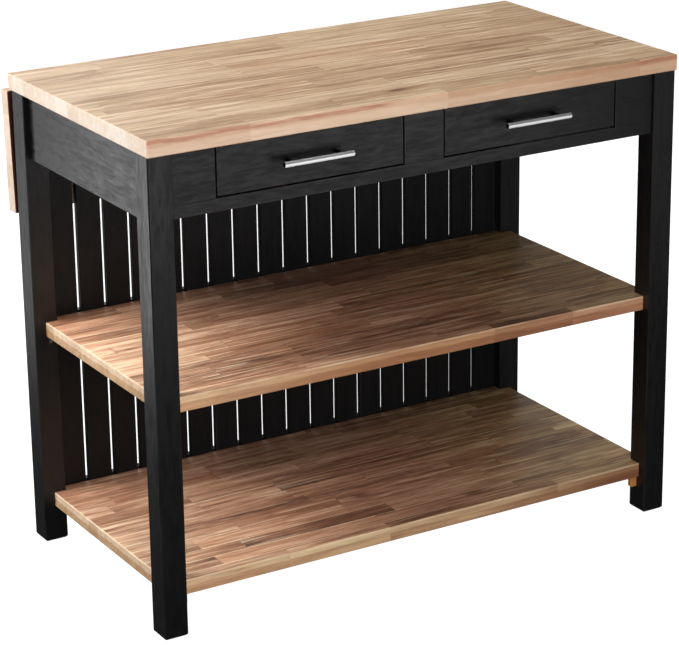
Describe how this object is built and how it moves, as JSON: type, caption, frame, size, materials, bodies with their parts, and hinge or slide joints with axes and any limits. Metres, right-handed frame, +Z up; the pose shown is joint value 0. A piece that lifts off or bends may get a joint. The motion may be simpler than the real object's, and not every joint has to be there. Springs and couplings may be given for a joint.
{
  "type": "butcher block table",
  "caption": "Kitchen work table with a butcher block top, drop leaf along the back, inset drawers with bar pulls, open shelves and a slatted back on square legs.",
  "frame": {"origin": "on the floor, under the middle of the whole footprint with the leaf hanging", "axes": "+X to the user's right along the top, -Y to the drawers' front, +Z up"},
  "size_m": [1.08, 0.6088, 0.9],
  "materials": {
    "butcher_block": "oiled, satin",
    "shelf_board": "oiled, satin",
    "bare_hardwood": "sanded, bare",
    "drawer_box_wood": "sealed",
    "black_paint": "satin black paint over wood grain",
    "satin_metal": "satin nickel",
    "slide_steel": "zinc plated",
    "zinc_steel": "zinc plated",
    "bracket_steel": "black powder coat",
    "glide_nylon": "moulded",
    "bumper_rubber": "matte"
  },
  "bodies": {
    "table": {"back_apron": "black_paint", "back_bottom_rail": "black_paint", "back_middle_rail": "black_paint", "back_slats_1": "black_paint", "back_slats_2": "black_paint", "back_slats_3": "black_paint", "bottom_shelf": "shelf_board", "bottom_shelf_pegs": "bare_hardwood", "bracket_screws": "zinc_steel", "corner_blocks": "bare_hardwood", "foot_glides": "glide_nylon", "front_rail": "black_paint", "front_stile_left": "black_paint", "front_stile_middle": "black_paint", "front_stile_right": "black_paint", "hinge_batten": "bare_hardwood", "hinge_fixed_plates": "zinc_steel", "hinge_fixed_screws": "zinc_steel", "hinge_pins": "zinc_steel", "leaf_bumpers": "bumper_rubber", "left_drawer_bearer_inner": "bare_hardwood", "left_drawer_bearer_outer": "bare_hardwood", "left_drawer_channel_inner": "slide_steel", "left_drawer_channel_outer": "slide_steel", "leg_back_left": "black_paint", "leg_back_right": "black_paint", "leg_front_left": "black_paint", "leg_front_right": "black_paint", "middle_shelf": "shelf_board", "middle_shelf_brackets": "bracket_steel", "right_drawer_bearer_inner": "bare_hardwood", "right_drawer_bearer_outer": "bare_hardwood", "right_drawer_channel_inner": "slide_steel", "right_drawer_channel_outer": "slide_steel", "side_apron_left": "black_paint", "side_apron_right": "black_paint", "top_screws": "zinc_steel", "top_slab": "butcher_block"},
    "drawer_left": {"left_drawer_back": "drawer_box_wood", "left_drawer_bottom": "drawer_box_wood", "left_drawer_front": "black_paint", "left_drawer_pull": "satin_metal", "left_drawer_pull_screws": "zinc_steel", "left_drawer_runner_inner": "slide_steel", "left_drawer_runner_outer": "slide_steel", "left_drawer_side_left": "drawer_box_wood", "left_drawer_side_right": "drawer_box_wood"},
    "drawer_right": {"right_drawer_back": "drawer_box_wood", "right_drawer_bottom": "drawer_box_wood", "right_drawer_front": "black_paint", "right_drawer_pull": "satin_metal", "right_drawer_pull_screws": "zinc_steel", "right_drawer_runner_inner": "slide_steel", "right_drawer_runner_outer": "slide_steel", "right_drawer_side_left": "drawer_box_wood", "right_drawer_side_right": "drawer_box_wood"},
    "leaf": {"drop_leaf": "butcher_block", "hinge_leaf_plates": "zinc_steel", "hinge_leaf_screws": "zinc_steel"}
  },
  "joints": [
    {"name": "left_drawer_slide", "type": "slide", "parent": "table", "child": "drawer_left", "axis": [0, -1, 0], "range_m": [0, 0.3]},
    {"name": "right_drawer_slide", "type": "slide", "parent": "table", "child": "drawer_right", "axis": [0, -1, 0], "range_m": [0, 0.3]},
    {"name": "leaf_hinge", "type": "hinge", "parent": "table", "child": "leaf", "pos_m": [0, 0.27, 0.8655], "axis": [1, 0, 0], "range_deg": [0, 92.4]}
  ]
}
